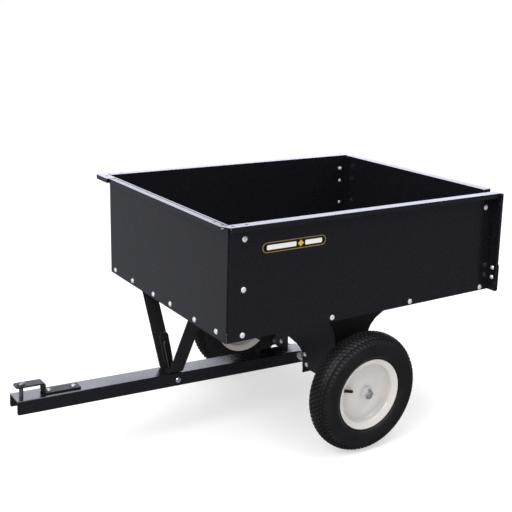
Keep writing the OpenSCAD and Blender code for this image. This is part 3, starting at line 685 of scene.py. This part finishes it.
def pill(name, x, y, z, corner, surface):
    """Rounded, chamfered plate lying on the left side panel; x, y, z are (low, high)."""
    ring = []
    for cx, cz, start in ((x[1] - corner, z[1] - corner, 0), (x[0] + corner, z[1] - corner, 90),
                          (x[0] + corner, z[0] + corner, 180),
                          (x[1] - corner, z[0] + corner, 270)):
        for k in range(9):
            angle = math.radians(start + 90 * k / 8)
            ring.append((cx + corner * math.cos(angle), cz + corner * math.sin(angle)))
    chamfer = (y[1] - y[0]) * 0.4

    def inward(value, middle):
        gap = middle - value
        return value + math.copysign(min(chamfer, abs(gap)), gap)

    face_ring = [(inward(px, (x[0] + x[1]) / 2), inward(pz, (z[0] + z[1]) / 2))
                 for px, pz in ring]
    verts = [(px, level, pz)
             for level, outline in ((y[0], ring), (y[1] - chamfer, ring), (y[1], face_ring))
             for px, pz in outline]
    n = len(ring)
    faces = []
    for low in (0, n):
        for i in range(n):
            j = (i + 1) % n
            faces.append((low + i, low + j, low + n + j, low + n + i))
    faces.append(tuple(range(2 * n, 3 * n)))
    faces.append(tuple(reversed(range(n))))
    fit_badge_part(mesh_obj(name, verts, faces, smooth=False), surface)


def lozenge():
    """Low gold pyramid midway between the two bars."""
    x = badge_hi.x - (FRONT_BAR[0] + REAR_BAR[1]) / 2
    half = LOZENGE_HALF
    corners = [(x + half, BADGE_Z), (x, BADGE_Z + half), (x - half, BADGE_Z), (x, BADGE_Z - half)]
    verts = [(px, y, pz) for y in (DEVICE_BACK, BADGE_FACE + 0.00045) for px, pz in corners]
    verts.append((x, BADGE_FACE + 0.0006, BADGE_Z))
    ring = [(i, (i + 1) % 4) for i in range(4)]
    faces = [(i, j, 4 + j, 4 + i) for i, j in ring] + [(4 + i, 4 + j, 8) for i, j in ring]
    faces.append((3, 2, 1, 0))
    amber = powder("badge_amber", base=(0.62, 0.36, 0.05), rough=0.32, coat=0.2, peel=0.04,
                   dust=0.03, wear=0.2)
    fit_badge_part(mesh_obj("badge_lozenge", verts, faces, smooth=False), amber)


pill("badge_field", x=(badge_lo.x + FIELD_MARGIN, badge_hi.x - FIELD_MARGIN),
     y=(badge_lo.y + 0.0003, BADGE_FACE + 0.00025),
     z=(badge_lo.z + FIELD_MARGIN, badge_hi.z - FIELD_MARGIN),
     corner=(badge_hi.z - badge_lo.z) / 2 - 0.0024, surface=BADGE)
for name, (rear, front) in (("badge_bar_front", FRONT_BAR), ("badge_bar_rear", REAR_BAR)):
    pill(name, x=(badge_hi.x - rear, badge_hi.x - front),
         y=(DEVICE_BACK, BADGE_FACE + 0.00055),
         z=(BADGE_Z - BAR_HALF_HEIGHT, BADGE_Z + BAR_HALF_HEIGHT), corner=0.0034, surface=PALE)
lozenge()


# --------------------------------------------------------------- floor, light
def build_floor():
    bpy.ops.mesh.primitive_plane_add(size=40, location=(0, 0, 0))
    floor = bpy.context.object
    floor.name = "floor"
    m = Surface("floor_pale")
    cloud = m.noise(scale=3.0, detail=3.0, rough=0.5)
    m.set(Base_Color=m.ramp(cloud, [(0.3, (0.60, 0.60, 0.605)), (0.7, (0.62, 0.62, 0.62))]),
          Roughness=0.8, Specular_IOR_Level=0.05,
          Emission_Color=(1.0, 1.0, 1.0), Emission_Strength=0.50)
    give(floor, m)
    floor.visible_glossy = False


def build_world():
    """White to the camera, even light on surfaces, soft boxes in reflections."""
    world = bpy.data.worlds.new("studio")
    scene.world = world
    world.use_nodes = True
    g = Graph(world.node_tree)
    g.tree.nodes.clear()
    direction = g.node("ShaderNodeTexCoord").outputs["Generated"]
    path = g.node("ShaderNodeLightPath")

    def soft_box(towards, inner, outer, amount):
        """Full strength within the inner angle, none past the outer, in degrees."""
        facing = g.dot(direction, Vector(towards).normalized())
        return g.map_range(facing, target=(0.0, amount), interpolation="SMOOTHSTEP",
                           source=(math.cos(math.radians(outer)), math.cos(math.radians(inner))))

    def choose(ray, yes, no):
        chosen = g.math("MULTIPLY", ray, yes)
        other = g.math("MULTIPLY", g.math("SUBTRACT", 1.0, ray), no)
        return g.math("ADD", chosen, other)

    ambient, surface_level, camera_level = 0.12, 0.82, 1.0
    boxes = g.math("ADD", soft_box((-0.53, -0.80, 0.28), inner=14, outer=46, amount=2.5), ambient)
    boxes = g.math("ADD", boxes, soft_box((0.55, -0.80, -0.26), inner=14, outer=42, amount=0.25))
    boxes = g.math("ADD", boxes, soft_box((0.15, 0.25, 1.0), inner=12, outer=50, amount=1.0))
    glossy = path.outputs["Is Glossy Ray"]
    level = choose(glossy, boxes, surface_level)
    level = choose(path.outputs["Is Camera Ray"], camera_level, level)
    output = g.node("ShaderNodeOutputWorld")
    background = g.node("ShaderNodeBackground")
    tint = g.mix(glossy, (1.0, 1.0, 1.0), (0.94, 0.96, 1.10))    # reflections are bluer
    g.link(tint, background.inputs[0])
    g.link(level, background.inputs[1])
    g.link(background.outputs[0], output.inputs[0])


def area(name, place, target, size, power):
    """Square area light aimed at a point."""
    light = bpy.data.lights.new(name, "AREA")
    light.shape = "RECTANGLE"
    light.size = light.size_y = size
    light.energy = power
    obj = bpy.data.objects.new(name, light)
    obj.location = place
    aim = Vector(target) - Vector(place)
    obj.rotation_euler = aim.to_track_quat("-Z", "Y").to_euler()
    scene.collection.objects.link(obj)


def build_camera(place, yaw, pitch, roll, lens):
    """Angles in radians: yaw from +X, pitch above level, roll about the line of sight."""
    forward = Vector((math.cos(pitch) * math.cos(yaw), math.cos(pitch) * math.sin(yaw),
                      math.sin(pitch)))
    level = forward.cross(Vector((0, 0, 1))).normalized()
    upright = level.cross(forward)
    right = level * math.cos(roll) + upright * math.sin(roll)
    up = -level * math.sin(roll) + upright * math.cos(roll)
    data = bpy.data.cameras.new("camera")
    camera = bpy.data.objects.new("camera", data)
    scene.collection.objects.link(camera)
    data.sensor_width = 36.0
    data.lens = lens
    data.clip_start, data.clip_end = 0.05, 60.0
    turn = Matrix((right, up, -forward)).transposed().to_4x4()
    camera.matrix_world = Matrix.Translation(place) @ turn
    scene.camera = camera


build_floor()
build_world()
area("key", place=(AXLE.x + 3.2, 1.2, 3.0), target=(AXLE.x + 0.2, 0, 0.5), size=2.2, power=120)
area("top", place=(AXLE.x - 0.5, 0.5, 4.2), target=(AXLE.x, 0, 0.4), size=3.5, power=110)
build_camera(place=(AXLE.x + 1.73285, 2.36501, 1.39855),
             yaw=4.131, pitch=-0.2808, roll=0.0293, lens=61.452422)
